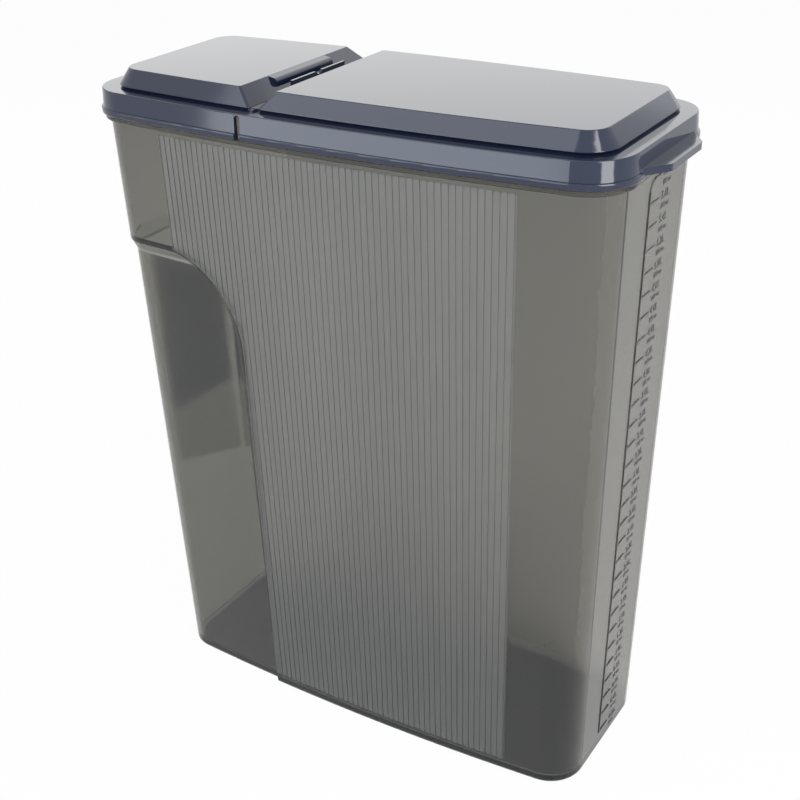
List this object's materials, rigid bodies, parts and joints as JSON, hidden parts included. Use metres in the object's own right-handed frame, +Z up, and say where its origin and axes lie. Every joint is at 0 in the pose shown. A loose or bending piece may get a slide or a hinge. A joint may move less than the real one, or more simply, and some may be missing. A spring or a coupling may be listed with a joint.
{
  "type": "food storage container",
  "caption": "Tall clear dry-food container with tapered ribbed body, grip recess, volume scale and a lid with a flip-up pouring flap and thumb tab.",
  "frame": {"origin": "middle of the body's length and depth at the flat underside of the base", "axes": "+X along the long side towards the thumb tab, with the pouring flap at the low end; +Y from the front to the back; +Z up"},
  "size_m": [0.2572, 0.1058, 0.3099],
  "materials": {
    "clear_smoke": "clear smoke-grey plastic, glossy",
    "lid_slate": "dark slate-blue moulded plastic, glossy"
  },
  "bodies": {
    "container": {"container_body": "clear_smoke"},
    "lid": {"main_lid": "lid_slate", "hinge_film": "lid_slate"},
    "flap": {"pour_flap": "lid_slate"}
  },
  "joints": [
    {"name": "lid_lift", "type": "slide", "parent": "container", "child": "lid", "axis": [0, 0, 1], "range_m": [0, 0.06]},
    {"name": "flap_hinge", "type": "hinge", "parent": "lid", "child": "flap", "pos_m": [-0.0361, 0, 0.303], "axis": [0, 1, 0], "range_deg": [0, 50]}
  ]
}
